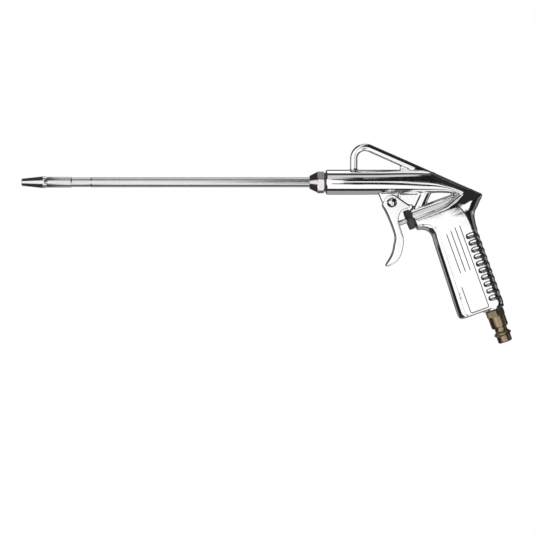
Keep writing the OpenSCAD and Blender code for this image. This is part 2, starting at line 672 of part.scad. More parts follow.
// One unbroken tube along the helix, with flat ground ends where it meets its seats
spring_mid_r = (spring_d - spring_wire) / 2;
spring_rings = 8;
spring_rise = (spring_len - spring_wire - 0.1) / spring_curls;
module valve_spring() color("lightsteelblue") valve(spring_start + spring_wire / 2 + 0.05)
    loft([for (k = [0:spring_curls * spring_rings]) let (
        turn = 360 * k / spring_rings, tilt = atan(spring_rise / (2 * PI * spring_mid_r)))
        [for (i = [5:-1:0]) let (
            out = spring_wire / 2 * cos(60 * i), up = spring_wire / 2 * sin(60 * i))
            [(spring_mid_r + out) * cos(turn) + up * sin(tilt) * sin(turn),
             (spring_mid_r + out) * sin(turn) - up * sin(tilt) * cos(turn),
             spring_rise * k / spring_rings + up * cos(tilt)]]]);
echo(spring_least_gap = spring_rise * cos(atan(spring_rise / (2 * PI * spring_mid_r))) - spring_wire);

module inlet_plug() color("darkkhaki") difference() {
    union() {
        plug(0) hexagon(plug_af, plug_hex_len, 0);
        plug(plug_hex_len) rotate_extrude() polygon(concat(
            [[0, -0.5], [plug_body_d / 2, -0.5]],
            arc_points([plug_body_d / 2 - 1.7, body_end - 1.7 - plug_hex_len], 1.7, 0, 90, 5),
            [[plug_neck_d / 2, body_end - plug_hex_len], [plug_neck_d / 2, neck_end - plug_hex_len],
             [plug_ridge_d / 2, neck_end - plug_hex_len + 1.9], [plug_ridge_d / 2, neck_end - plug_hex_len + 2.7],
             [plug_nose_d / 2, nose_start - plug_hex_len], [plug_nose_d / 2, plug_len - 0.8 - plug_hex_len],
             [plug_nose_d / 2 - 0.8, plug_len - plug_hex_len], [0, plug_len - plug_hex_len]]));
        plug(-plug_thread_len - plug_washer_t)
            cylinder(d = plug_thread_d, h = plug_thread_len + plug_washer_t + 0.5);
    }
    plug(-plug_thread_len - plug_washer_t - 1)
        cylinder(d = plug_bore_d, h = plug_len + plug_thread_len + plug_washer_t + 2);
}
body_end = 14.4;
nose_start = plug_len - plug_nose_len;
neck_end = nose_start - 4.1;

module inlet_washer() color("dimgray") plug(-plug_washer_t + 0.02)
    ring(plug_af + 0.6, plug_thread_d + 2 * seat_gap, plug_washer_t - 0.04);

module trigger_pin() color("silver") pivot() rotate([90, 0, 0]) {
    head_y = trigger_w / 2 + run_gap;
    translate([0, 0, -head_y - clip_t - 1.6])
        difference() {
            cylinder(d = pin_d, h = 2 * head_y + clip_t + 1.6);
            translate([0, 0, 1.6 - run_gap]) difference() {
                cylinder(d = pin_d + 1, h = clip_t + run_gap);
                translate([0, 0, -1]) cylinder(d = pin_d - 1.2, h = clip_t + 3);
            }
        }
    dome_r = (pin_head_d * pin_head_d / 4 + pin_head_h * pin_head_h) / (2 * pin_head_h);
    translate([0, 0, head_y]) intersection() {
        cylinder(d = pin_head_d, h = pin_head_h);
        translate([0, 0, pin_head_h - dome_r]) sphere(dome_r);
    }
}

module pin_clip() color("dimgray") pivot() rotate([90, 0, 0])
    translate([0, 0, -trigger_w / 2 - run_gap - clip_t]) difference() {
        cylinder(d = pin_d + 4, h = clip_t - run_gap);
        translate([0, 0, -1]) cylinder(d = pin_d - 1.2 + 2 * run_gap, h = clip_t + 2);
        translate([0, -(pin_d - 1.4) / 2, -1]) cube([pin_d + 4, pin_d - 1.4, clip_t + 2]);
    }

module valve_stem() color("gainsboro") {
    valve(-stem_out + 2.5) intersection() {
        sphere(2.5);
        translate([0, 0, -2.5]) cylinder(d = stem_d, h = 2.5);
    }
    valve(-stem_out + 2.4) cylinder(d = stem_d, h = sleeve_start + stem_out - 2.4);
    valve(sleeve_start - 0.5) cylinder(d = neck_d, h = seal_start - sleeve_start + 0.5);
    valve(seal_start - 0.5) cylinder(d = stem_thread_d, h = stem_len - stem_out - seal_start + 0.5);
}

module poppet_seal() color("black") valve(seal_start)
    ring(poppet_d, stem_thread_d + 2 * seat_gap, seal_t - 0.02);

module poppet() color("goldenrod") difference() {
    union() {
        valve(seal_start + seal_t) cylinder(d = poppet_d, h = poppet_t);
        valve(spring_start - 0.5) cylinder(d = register_d, h = register_len + 0.5);
    }
    valve(seal_start) cylinder(d = stem_thread_d + 2 * seat_gap, h = 10);
}

module poppet_nut() color("silver") difference() {
    valve(spring_start + register_len + 0.02) hexagon(4.5, nut_t);
    valve(spring_start) cylinder(d = stem_thread_d + 2 * seat_gap, h = 10);
}

// Trigger, drawn about its pivot: [along, up, width of the edge rounding]. The lever below
// its ears keeps its height against the gland, which is lever_drop below the pivot as drawn.
lever_drop = 14.5;
lever_shift = gland_face[1] + pivot_drop + lever_drop;
function lever(pts) = [for (p = pts) [p[0], p[1] + lever_shift, p[2]]];
trigger_front = concat([[-7.4, -1.4, 0.5], [-7, -3.2, 1], [-5.2, -6.4, 1.7]], lever([
    [-2.8, -11.3, 1.8], [-0.7, -16.4, 1.8], [1.6, -22.5, 1.8], [2.7, -26.7, 1.8],
    [2.8, -30, 1.8], [2, -33.4, 1.8], [1.2, -38.2, 1.8], [-0.6, -42.8, 1.8],
    [-3.1, -46.9, 1.4], [-4.5, -49.5, 1], [-4.3, -50.9, 0.7]]));
trigger_rear = lever([
    [-2.9, -51.2, 0.5], [0.4, -49.8, 0.5], [5, -46.2, 0.5], [8.1, -40.5, 0.5], [9.5, -33.5, 0.5],
    [9.6, -28.5, 0.5], [8.6, -25.1, 0.5], [6.6, -18.7, 0.5], [5.5, -14.5, 0.5], [6.1, -10, 0.5],
    [8.4, -6.4, 0.4], [13.6, -4.5, 0.3], [14.5, -3.3, 0.3], [14.1, -2, 0.3]]);
trigger_curve = concat(open_curve(trigger_front, 2), open_curve(trigger_rear, 2),
    [for (p = arc_points([0, 0], ear_r, 64, 176, 8)) [p[0], p[1], 0.4]]);
trigger_hubs = [for (p = [[0, -1], [3, -19], [6, -31], [2.5, -43.5]])
    [p[0], p[1] + (p[1] < -10 ? lever_shift : 0)]];

module trigger() color("gainsboro") pivot() difference() {
    edge = [for (s = trigger_curve) [s[0], s[1]]];
    flat = [for (i = [0:len(edge) - 1]) edge[i] - trigger_curve[i][2] * square_to(edge, i)];
    pillow(edge, flat, trigger_hubs, trigger_w / 2 - 1.8, trigger_w / 2, 0, 4);
    front = open_curve([for (s = trigger_front) [s[0], s[1]]], 2);
    count = len(front);
    pocket = [for (i = [0:count - 3]) front[i] - trigger_wall * square_to(front, max(i, 1))];
    side_plate(concat([[-14, pocket[0][1] + 2.4]], pocket,
        [[4, lever_shift - 52], [40, lever_shift - 52], [40, 20], [-14, 20]]),
        2 * (lug_half + side_gap));
    rotate([90, 0, 0]) cylinder(d = pin_d + 2 * run_gap, h = big, center = true);
}

body_casting();
nozzle_tube();
nozzle_tip();
nozzle_collar();
nozzle_nut();
nozzle_washer();
nozzle_o_ring();
gland_nut();
gland_washer();
stem_o_ring();
seat_sleeve();
sleeve_o_ring();
valve_spring();
inlet_plug();
inlet_washer();
trigger_pin();
pin_clip();
valve_stem();
poppet_seal();
poppet();
poppet_nut();
trigger();
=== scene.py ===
import math

import bmesh
import bpy
from mathutils import Matrix, Vector


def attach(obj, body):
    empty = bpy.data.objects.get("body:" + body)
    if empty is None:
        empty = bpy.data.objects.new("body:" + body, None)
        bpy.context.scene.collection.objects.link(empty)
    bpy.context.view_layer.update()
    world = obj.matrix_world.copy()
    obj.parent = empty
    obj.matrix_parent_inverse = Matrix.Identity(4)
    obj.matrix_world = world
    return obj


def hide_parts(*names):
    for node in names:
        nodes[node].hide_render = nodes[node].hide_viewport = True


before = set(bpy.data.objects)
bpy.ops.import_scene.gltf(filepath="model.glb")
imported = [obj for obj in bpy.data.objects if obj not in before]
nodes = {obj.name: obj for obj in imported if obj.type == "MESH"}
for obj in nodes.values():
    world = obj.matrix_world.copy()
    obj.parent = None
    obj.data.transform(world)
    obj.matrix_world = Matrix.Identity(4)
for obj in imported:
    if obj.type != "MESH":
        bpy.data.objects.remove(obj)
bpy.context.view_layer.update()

scene = bpy.context.scene
mm = 0.001
tiny = 1e-6
merge = {"turned": 1e-7, "cad": 1e-6}  # metres within which points become one

# in millimetres: the barrel's face, the knee where valve and grip meet, their outer faces and the pin
gunX = 243.0
places = {"knee": (gunX + 103.7, -16.6), "tilt": 20, "bossFace": -41.5, "plugFace": -91.5,
          "pin": (gunX + 52.603, -16.3)}


def turnedAt(x, z, angle, axis, start=Matrix.Identity(4)):
    # a frame in the gun's middle plane: moved from another frame, then turned about one axis
    return start @ Matrix.Translation((x * mm, 0, z * mm)) @ Matrix.Rotation(angle, 4, axis)


# the valve lies along the grip frame's X axis and the grip along its Z
gripFrame = turnedAt(*places["knee"], -math.radians(places["tilt"]), "Y")
barrelAxis = turnedAt(gunX, 0, math.pi / 2, "Y")
valveAxis = turnedAt(places["bossFace"], 0, math.pi / 2, "Y", gripFrame)
plugAxis = turnedAt(0, places["plugFace"], math.pi, "X", gripFrame)
pinAxis = turnedAt(*places["pin"], math.pi / 2, "X")

# the photograph looks straight at the side of the gun
view = {"centre": (197.0, -68.6), "width": 428.8, "distance": 1500.0, "sensor": 36, "clipEnd": 20}

cameraData = bpy.data.cameras.new("photoCamera")
cameraData.sensor_width = view["sensor"]
cameraData.lens = view["sensor"] * view["distance"] / view["width"]
cameraData.clip_end = view["clipEnd"]
camera = bpy.data.objects.new("photoCamera", cameraData)
camera.location = (view["centre"][0] * mm, -view["distance"] * mm, view["centre"][1] * mm)
camera.rotation_euler = (math.pi / 2, 0, 0)
scene.collection.objects.link(camera)
scene.camera = camera
print("camera placed")

mixSockets = {"first": 6, "second": 7, "result": 2}  # the Mix node's colour sockets


def newFinish(name):
    finish = bpy.data.materials.new(name)
    finish.use_nodes = True
    tree = finish.node_tree
    return finish, tree, tree.nodes["Principled BSDF"]


def addNode(tree, kind, **settings):
    node = tree.nodes.new(kind)
    for key, value in settings.items():
        if key in node.inputs.keys():
            node.inputs[key].default_value = value
        else:
            setattr(node, key, value)
    return node


def stretchedNoise(tree, scale, stretch, detail):
    # noise on object coordinates, drawn out by the stretch on each axis
    coords = addNode(tree, "ShaderNodeTexCoord")
    mapping = addNode(tree, "ShaderNodeMapping")
    mapping.inputs["Scale"].default_value = stretch
    noise = addNode(tree, "ShaderNodeTexNoise", Scale=scale, Detail=detail, Roughness=0.55)
    tree.links.new(coords.outputs["Object"], mapping.inputs["Vector"])
    tree.links.new(mapping.outputs["Vector"], noise.inputs["Vector"])
    return noise


def spread(tree, source, low, high, fromLow=0.3, fromHigh=0.7):
    node = addNode(tree, "ShaderNodeMapRange")
    node.inputs["From Min"].default_value = fromLow
    node.inputs["From Max"].default_value = fromHigh
    node.inputs["To Min"].default_value = low
    node.inputs["To Max"].default_value = high
    tree.links.new(source, node.inputs["Value"])
    return node.outputs["Result"]


def bumpOn(tree, shader, height, depth, before=None):
    # marks of a depth in millimetres, on top of the bump before them
    bump = addNode(tree, "ShaderNodeBump", Strength=1.0, Distance=depth * mm)
    tree.links.new(height, bump.inputs["Height"])
    if before:
        tree.links.new(before.outputs["Normal"], bump.inputs["Normal"])
    tree.links.new(bump.outputs["Normal"], shader.inputs["Normal"])
    return bump


def tonedColour(tree, shader, source, colour, tone):
    # the colour, darker and lighter by the tone where the source says
    mix = addNode(tree, "ShaderNodeMix", data_type="RGBA")
    for socket, change in (("first", -tone), ("second", tone)):
        mix.inputs[mixSockets[socket]].default_value = (*[min(c * (1 + change), 1) for c in colour], 1)
    tree.links.new(source, mix.inputs[0])
    tree.links.new(mix.outputs[mixSockets["result"]], shader.inputs["Base Color"])


def metalFinish(name, colour, rough, wave, grain, tone=0.05):
    # wave: scale and depth of the slow unevenness; grain: scale, stretch and depth of the fine marks
    finish, tree, shader = newFinish(name)
    shader.inputs["Metallic"].default_value = 1.0
    slow = stretchedNoise(tree, wave[0], (1, 1, 1), 2.0)
    fine = stretchedNoise(tree, grain[0], grain[1], 4.0)
    tree.links.new(spread(tree, fine.outputs["Fac"], rough[0], rough[1]), shader.inputs["Roughness"])
    tonedColour(tree, shader, slow.outputs["Fac"], colour, tone)
    first = bumpOn(tree, shader, slow.outputs["Fac"], wave[1])
    bumpOn(tree, shader, fine.outputs["Fac"], grain[2], first)
    return finish


def softFinish(name, colour, rough, grain, tone=0.12, roughSpread=0.06):
    # a matt finish; grain: scale and depth of its marks
    finish, tree, shader = newFinish(name)
    noise = stretchedNoise(tree, grain[0], (1, 1, 1), 5.0)
    roughness = spread(tree, noise.outputs["Fac"], rough - roughSpread, rough + roughSpread)
    tree.links.new(roughness, shader.inputs["Roughness"])
    tonedColour(tree, shader, noise.outputs["Fac"], colour, tone)
    bumpOn(tree, shader, noise.outputs["Fac"], grain[1])
    return finish


polishedCasting = metalFinish("polishedCasting", colour=(0.93, 0.93, 0.935), rough=(0.05, 0.09),
                              wave=(60, 0.012), grain=(900, (1, 1, 0.25), 0.0008))
polishedLever = metalFinish("polishedLever", colour=(0.92, 0.92, 0.925), rough=(0.07, 0.12),
                            wave=(60, 0.012), grain=(900, (1, 1, 0.25), 0.001))
satinTube = metalFinish("satinTube", colour=(0.74, 0.74, 0.75), rough=(0.16, 0.24),
                        wave=(60, 0.004), grain=(1600, (0.03, 1, 1), 0.003))
turnedTip = metalFinish("turnedTip", colour=(0.8, 0.8, 0.81), rough=(0.1, 0.18),
                        wave=(60, 0.004), grain=(1800, (1, 0.05, 0.05), 0.002))
platedNut = metalFinish("platedNut", colour=(0.8, 0.76, 0.75), rough=(0.1, 0.2),
                        wave=(120, 0.008), grain=(1500, (1, 0.3, 0.3), 0.003))
darkNut = metalFinish("darkNut", colour=(0.075, 0.073, 0.073), rough=(0.16, 0.28),
                      wave=(120, 0.01), grain=(1500, (1, 0.3, 0.3), 0.004))
bronzePlating = metalFinish("bronzePlating", colour=(0.43, 0.34, 0.22), rough=(0.24, 0.4),
                            wave=(150, 0.03), grain=(1500, (0.3, 0.3, 1), 0.002), tone=0.15)
brightSteel = metalFinish("brightSteel", colour=(0.82, 0.82, 0.83), rough=(0.08, 0.16),
                          wave=(120, 0.006), grain=(1500, (0.3, 1, 1), 0.003))
springWire = metalFinish("springWire", colour=(0.7, 0.7, 0.72), rough=(0.2, 0.3),
                         wave=(200, 0.004), grain=(1500, (1, 1, 1), 0.003))
turnedBrass = metalFinish("turnedBrass", colour=(0.75, 0.58, 0.3), rough=(0.18, 0.28),
                          wave=(120, 0.006), grain=(1500, (0.3, 1, 1), 0.004))
blackRubber = softFinish("blackRubber", colour=(0.03, 0.03, 0.032), rough=0.6, grain=(2600, 0.012))
greyFibre = softFinish("greyFibre", colour=(0.07, 0.07, 0.072), rough=0.7, grain=(3200, 0.02))
# painted shade: a dark finish standing in for the shade in the engraved lines and on the notches' walls
paintedRecessShade = softFinish("paintedRecessShade", colour=(0.05, 0.05, 0.05), rough=0.6, grain=(1500, 0.01))
print("finishes made")


def finished(bm, name, body, finish, place=None, sharp=35):
    if place is not None:
        bmesh.ops.transform(bm, matrix=place, verts=bm.verts)
    bmesh.ops.remove_doubles(bm, verts=bm.verts, dist=merge["turned"])
    bmesh.ops.recalc_face_normals(bm, faces=bm.faces)
    bm.normal_update()
    for face in bm.faces:
        face.smooth = True
    for edge in bm.edges:
        edge.smooth = edge.calc_face_angle(0) < math.radians(sharp)
    mesh = bpy.data.meshes.new(name)
    bm.to_mesh(mesh)
    bm.free()
    mesh.materials.append(finish)
    piece = bpy.data.objects.new(name, mesh)
    scene.collection.objects.link(piece)
    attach(piece, body)
    return piece


corner = {"share": 0.4, "least": 0.02, "straight": 172, "steps": (0, 0.25, 0.5, 0.75, 1)}


def softened(profile, radius):
    # rounds every corner of a closed profile
    points = []
    count = len(profile)
    for i, here in enumerate(profile):
        here = Vector(here)
        back, ahead = Vector(profile[i - 1]) - here, Vector(profile[(i + 1) % count]) - here
        reach = min(radius, corner["share"] * back.length, corner["share"] * ahead.length)
        straight = back.angle(ahead) > math.radians(corner["straight"])
        if reach < corner["least"] or here.x < tiny or straight:
            points.append(here)
            continue
        start, end = here + back.normalized() * reach, here + ahead.normalized() * reach
        for t in corner["steps"]:
            points.append(start * (1 - t) ** 2 + here * 2 * t * (1 - t) + end * t ** 2)
    return points


def turned(profile, radius, steps=144):
    # a closed profile of (radius, height) in millimetres spun about Z
    bm = bmesh.new()
    verts = [bm.verts.new((p[0] * mm, 0, p[1] * mm)) for p in softened(profile, radius)]
    edges = [bm.edges.new((verts[i - 1], verts[i])) for i in range(len(verts))]
    bmesh.ops.spin(bm, geom=verts + edges, cent=(0, 0, 0), axis=(0, 0, 1), angle=math.tau,
                   steps=steps, use_merge=True)
    bmesh.ops.remove_doubles(bm, verts=bm.verts, dist=merge["turned"])
    return bm


hexagonPower = 90  # the higher, the sharper a hexagon's corners


def cutToHexagon(bm, size, turn, low, high):
    # brings the points between the two heights in to the six flats, with slightly rounded corners
    half = size / 2 * mm
    for vert in bm.verts:
        if low * mm - merge["turned"] <= vert.co.z <= high * mm + merge["turned"]:
            reach = math.hypot(vert.co.x, vert.co.y)
            angle = math.atan2(vert.co.y, vert.co.x) - math.radians(turn)
            total = sum(max(math.cos(angle - k * math.pi / 3), 0) ** hexagonPower for k in range(6))
            limit = half / total ** (1 / hexagonPower)
            if reach > limit:
                vert.co.x *= limit / reach
                vert.co.y *= limit / reach


def steppedPath(points, counts):
    # a path through the points, each stretch split into its count of steps
    path = [points[0]]
    for start, end, count in zip(points, points[1:], counts):
        path += [(start[0] + (end[0] - start[0]) * k / count, start[1] + (end[1] - start[1]) * k / count)
                 for k in range(1, count + 1)]
    return path


# the cast body and the lever are smoothed from their solids
castBody = {"voxel": 0.42, "smoothing": 13, "easing": 3, "mostTriangles": 185000}
castLever = {"voxel": 0.35, "smoothing": 6}


def withModifier(mesh, name, kind, **settings):
    # a new mesh with one modifier applied
    piece = bpy.data.objects.new(name, mesh)
    scene.collection.objects.link(piece)
    modifier = piece.modifiers.new(name, kind)
    for key, value in settings.items():
        setattr(modifier, key, value)
    done = bpy.data.meshes.new_from_object(piece.evaluated_get(bpy.context.evaluated_depsgraph_get()))
    bpy.data.objects.remove(piece)
    bpy.data.meshes.remove(mesh)
    return done


def castFrom(nodeName, look):
    bm = bmesh.new()
    bm.from_mesh(nodes[nodeName].data)
    bmesh.ops.remove_doubles(bm, verts=bm.verts, dist=merge["cad"])
    draft = bpy.data.meshes.new(nodeName + "Draft")
    bm.to_mesh(draft)
    bm.free()
    draft = withModifier(draft, "cast", "REMESH", mode="VOXEL", voxel_size=look["voxel"] * mm)
    return withModifier(draft, "smooth", "SMOOTH", factor=0.5, iterations=look["smoothing"])


# where the spine's top line starts and how it falls; the barrel's sections stay a little below it
ridge = {"startX": 36.442, "startZ": 29.879, "slope": math.tan(math.radians(23.8)), "below": 0.4,
         "turnX": 83.03}
barrel = {"radius": 10, "start": 1.2, "end": 98, "fade": 6, "near": 0.3, "blend": 0.12, "steps": 24}
# the sections behind its round front: distance, top, bottom, half width, widest height, squareness
barrelSections = [
    [29, 9.98, -9.98, 9.98, 0, 2],
    [46, 9.98, -9.8, 9.95, 0, 2.05],
    [64, 9.95, -9.3, 9.85, -0.2, 2.25],
    [ridge["turnX"], None, -8.8, 9.7, -0.8, 2.6],
    [92, None, -8.4, 9.6, -2.6, 2.7],
    [102, None, -9.2, 9.4, -6, 2.7],
    [110, None, -12.5, 8.6, -9, 2.6],
    [117, None, -15, 7, -11, 2.5]]
for section in barrelSections:
    if section[1] is None:
        section[1] = ridge["startZ"] - (section[0] - ridge["startX"]) * ridge["slope"] - ridge["below"]


def smoothTable(rows, count):
    # rows joined by a smooth curve, each step split into count
    table = []
    last = len(rows) - 1
    for i in range(last):
        near = list(zip(rows[max(i - 1, 0)], rows[i], rows[i + 1], rows[min(i + 2, last)]))
        for k in range(count):
            t = k / count
            table.append([0.5 * (2 * b + (c - a) * t + (2 * a - 5 * b + 4 * c - d) * t * t
                                 + (3 * b - a - 3 * c + d) * t ** 3) for a, b, c, d in near])
    return table + [list(rows[last])]


barrelTable = smoothTable(barrelSections, barrel["steps"])


def barrelReach(along, y, z):
    # how far a point must be scaled from the section's centre to lie on the barrel, and that centre
    if along < barrelTable[0][0]:
        return barrel["radius"] / max(math.hypot(y, z), tiny), 0
    k = max(i for i, row in enumerate(barrelTable) if row[0] <= along)
    low, high = barrelTable[k], barrelTable[min(k + 1, len(barrelTable) - 1)]
    t = (along - low[0]) / max(high[0] - low[0], tiny)
    top, bottom, half, middle, power = [a + (b - a) * t for a, b in zip(low[1:], high[1:])]
    tall = top - middle if z > middle else middle - bottom
    total = (abs(y) / half) ** power + (abs(z - middle) / tall) ** power
    return total ** (-1 / power), middle


boss = {"radius": 7.5, "start": 5.6, "end": 40, "near": 0.22}
side = {"half": 10.8, "draft": 1.3, "length": 89.3, "top": -3, "near": 0.14}
# the notches down the grip's rear edge, in the grip's frame
notches = {"left": -2.4, "top": -25, "foot": -83.5, "steep": 0.5, "rear": 9, "round": 5.8, "fill": 0.7,
           "side": 3.6, "above": 3, "shallowest": 0.1, "deepest": 2.4, "fromSide": 1.5, "fade": 3,
           "endWall": 3}


def flatAt(z):
    # how far the grip's drafted flat side stands from the middle plane
    return side["half"] * (1 + side["draft"] / side["length"] / side["half"] * z)


draft = castFrom("body_casting", castBody)
toGrip = gripFrame.inverted()
toValve = valveAxis.inverted()
for vert in draft.vertices:
    along, y, z = vert.co.x / mm - gunX, vert.co.y / mm, vert.co.z / mm
    if barrel["start"] < along < barrel["end"]:
        reach, middle = barrelReach(along, y, z)
        off = abs(reach - 1) * math.hypot(y, z - middle)
        pull = min(max((barrel["near"] - off) / barrel["blend"], 0), 1)
        pull *= min(1, (barrel["end"] - along) / barrel["fade"])
        vert.co.y += vert.co.y * (reach - 1) * pull
        vert.co.z += (vert.co.z - middle * mm) * (reach - 1) * pull
    inGrip = toGrip @ vert.co / mm
    flat = flatAt(inGrip.z)
    if inGrip.z < side["top"] and abs(abs(y) - flat) < side["near"]:
        vert.co.y = math.copysign(flat * mm, y)
    if notches["foot"] < inGrip.z < notches["top"] + notches["above"]:
        # the notches run out shallow round the rear edge
        outX = inGrip.x - (notches["rear"] - notches["round"])
        outY = abs(y) - (flat - notches["round"])
        depth = notches["round"] - (math.hypot(outX, outY) if outY > 0 else outX)
        if outX > 0 and notches["shallowest"] < depth < notches["deepest"]:
            share = min(max((flat - notches["fromSide"] - abs(y)) / notches["fade"], 0), 1)
            outwards = Vector((outX, math.copysign(max(outY, 0), y), 0)).normalized()
            away = outwards * (depth * notches["fill"] * share)
            vert.co += gripFrame.to_3x3() @ away * mm
    inValve = toValve @ vert.co / mm
    radius = math.hypot(inValve.x, inValve.y)
    if boss["start"] < inValve.z < boss["end"] and abs(radius - boss["radius"]) < boss["near"]:
        inValve.x *= boss["radius"] / radius
        inValve.y *= boss["radius"] / radius
        vert.co = valveAxis @ (inValve * mm)
draft = withModifier(draft, "ease", "SMOOTH", factor=0.5, iterations=castBody["easing"])
draft = withModifier(draft, "thin", "DECIMATE", ratio=castBody["mostTriangles"] / (2 * len(draft.polygons)))

# engraved lines on both flat sides, cut after the smoothing; their cut walls get a dark painted shade
panel = {"front": 19, "rear": 3.9, "top": 18, "foot": 2.6, "frontRise": 22, "corner": 1.5, "width": 0.7,
         "depth": 0.35, "above": 0.6, "lines": 3, "long": 36, "inset": 3, "step": 1.5}
panelFoot = panel["foot"] - side["length"]


def strip(bm, path, sign):
    # a slim closed bar along a path on the flat side, given in the grip's frame
    path = [Vector(p) for p in path]
    count = len(path)
    levels = [[], []]
    for k, out in enumerate((-panel["depth"], panel["above"])):
        for edge in (1, -1):
            order = range(count) if edge == 1 else range(count - 1, -1, -1)
            for i in order:
                along = path[min(i + 1, count - 1)] - path[max(i - 1, 0)]
                p = path[i] + edge * Vector((-along.y, along.x)).normalized() * panel["width"] / 2
                y = sign * (flatAt(p.y) + out)
                levels[k].append(bm.verts.new(gripFrame @ Vector((p.x * mm, y * mm, p.y * mm))))
    total = 2 * count
    for i in range(total):
        j = (i + 1) % total
        bm.faces.new((levels[0][i], levels[0][j], levels[1][j], levels[1][i]))
    for level in levels:
        for i in range(count - 1):
            bm.faces.new((level[i], level[i + 1], level[total - 2 - i], level[total - 1 - i]))


def panelPaths():
    # the line round the panel's foot, then the straight lines beside its long rear stretch
    bend = panel["corner"]
    around = [(-panel["rear"], -panel["top"])]
    for centre, first in ((-panel["rear"] - bend, 0), (-panel["front"] + bend, -90)):
        for angle in range(first, first - 91, -15):
            turn = math.radians(angle)
            around.append((centre + bend * math.cos(turn), panelFoot + bend + bend * math.sin(turn)))
    around.append((-panel["front"], panelFoot + panel["frontRise"]))
    paths = [around]
    for k in range(1, panel["lines"] + 1):
        x = -panel["rear"] - k * (panel["front"] - panel["rear"] - panel["inset"]) / panel["lines"]
        paths.append([(x, -panel["top"] - panel["step"] * (k - 1)), (x, -panel["top"] - panel["long"])])
    return paths


cutterMesh = bpy.data.meshes.new("cutters")
bm = bmesh.new()
for sign in (-1, 1):
    for path in panelPaths():
        strip(bm, path, sign)
bmesh.ops.recalc_face_normals(bm, faces=bm.faces)
for face in bm.faces:
    # the cut faces take the painted shade finish
    face.material_index = 1
for mesh in (draft, cutterMesh):
    for finish in (polishedCasting, paintedRecessShade):
        mesh.materials.append(finish)
bm.to_mesh(cutterMesh)
bm.free()
cutters = bpy.data.objects.new("cutters", cutterMesh)
scene.collection.objects.link(cutters)
bpy.context.view_layer.update()
draft = withModifier(draft, "engrave", "BOOLEAN", operation="DIFFERENCE", object=cutters, solver="MANIFOLD")
bpy.data.objects.remove(cutters)
bpy.data.meshes.remove(cutterMesh)
bm = bmesh.new()
bm.from_mesh(draft)
bpy.data.meshes.remove(draft)
shell = finished(bm, "castShell", "gun", polishedCasting, sharp=50)
shell.data.materials.append(paintedRecessShade)
turnIn = toGrip.to_3x3()
for face in shell.data.polygons:
    # painted shade: the notches' upper and lower walls, and the wall at their front end, are made dark
    inGrip = toGrip @ face.center / mm
    onSide = abs(inGrip.y) > side["half"] - notches["side"]
    if onSide and inGrip.x > notches["left"] and notches["foot"] < inGrip.z < notches["top"]:
        facing = turnIn @ face.normal
        atEnd = facing.x > notches["steep"] and inGrip.x < notches["left"] + notches["endWall"]
        if abs(facing.z) > notches["steep"] or atEnd:
            face.material_index = 1
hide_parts("body_casting")
triangles = len(shell.data.loops) - 2 * len(shell.data.polygons)
print("body cast:", len(shell.data.polygons), "faces,", triangles, "triangles")

draft = castFrom("trigger", castLever)
bm = bmesh.new()
bm.from_mesh(draft)
bpy.data.meshes.remove(draft)
lever = finished(bm, "castLever", "trigger", polishedLever, sharp=180)
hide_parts("trigger")
print("lever cast:", len(lever.data.polygons), "faces")

# radii and distances from the nozzle's mouth; the crimp presses the tube onto the tip
tube = {"outer": 4.0, "bore": 3.0, "start": 20.8, "end": 254.4, "crimp": (39.6, 56.2),
        "crimpSlopes": (0.8, 0.6), "pressed": 0.2, "swell": (0.25, 0.2), "rounding": 0.3}

pressed = tube["outer"] - tube["pressed"]
profile = [
    (tube["bore"], tube["start"]),
    (tube["outer"] + tube["swell"][0], tube["start"]),
    (tube["outer"] + tube["swell"][1], tube["crimp"][0]),
    (pressed, tube["crimp"][0] + tube["crimpSlopes"][0]),
    (pressed, tube["crimp"][1] - tube["crimpSlopes"][1]),
    (tube["outer"], tube["crimp"][1]),
    (tube["outer"], tube["end"]),
    (tube["bore"], tube["end"])]
alongNozzle = Matrix.Rotation(math.pi / 2, 4, "Y")
bm = turned(profile, tube["rounding"])
tubePiece = finished(bm, "nozzleTube", "gun", satinTube, alongNozzle)
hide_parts("nozzle_tube")

# the cone and the land end at shares of the head's length
tip = {"mouth": 2.9, "chamfer": 0.3, "shoulder": 4.7, "taper": 0.1, "bore": 2.0, "head": 20.8, "cone": 0.77,
       "land": 0.86, "back": 4.2, "seat": 0.1, "spigot": 2.95, "end": 56.2, "rounding": 0.6}

profile = [
    (tip["bore"], 0),
    (tip["mouth"] - tip["chamfer"], 0),
    (tip["mouth"], tip["chamfer"]),
    (tip["shoulder"] - tip["taper"], tip["head"] * tip["cone"]),
    (tip["shoulder"], tip["head"] * tip["land"]),
    (tip["back"], tip["head"] - tip["seat"]),
    (tip["spigot"], tip["head"] - tip["seat"]),
    (tip["spigot"], tip["end"]),
    (tip["bore"], tip["end"])]
bm = turned(profile, tip["rounding"])
tipPiece = finished(bm, "nozzleTip", "gun", turnedTip, alongNozzle)
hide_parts("nozzle_tip")

# distances from the barrel's face, negative towards the nozzle
nut = {"size": 16, "turn": 47.5, "hexStart": -6.6, "hexEnd": -1.2, "cutFrom": 0.02, "coneEnd": -12.8,
       "front": 5.2, "cone": 8.3, "corner": 9.24, "back": 8.5, "bevels": (0.55, 0.5), "bore": 4.1,
       "thread": 6, "threadEnd": 9, "rounding": 0.12}

profile = [(nut["bore"], nut["coneEnd"]), (nut["front"], nut["coneEnd"])]
profile += steppedPath([
    (nut["cone"], nut["hexStart"]),
    (nut["corner"], nut["hexStart"] + nut["bevels"][0]),
    (nut["corner"], nut["hexEnd"] - nut["bevels"][1]),
    (nut["back"], nut["hexEnd"])], (4, 4, 4))
profile += [
    (nut["thread"], nut["hexEnd"]), (nut["thread"], nut["threadEnd"]), (nut["bore"], nut["threadEnd"])]
bm = turned(profile, nut["rounding"])
cutToHexagon(bm, nut["size"], nut["turn"], nut["hexStart"] + nut["cutFrom"], nut["hexEnd"])
nutPiece = finished(bm, "nozzleNut", "gun", platedNut, barrelAxis, sharp=30)
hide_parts("nozzle_nut")
print("nozzle made")

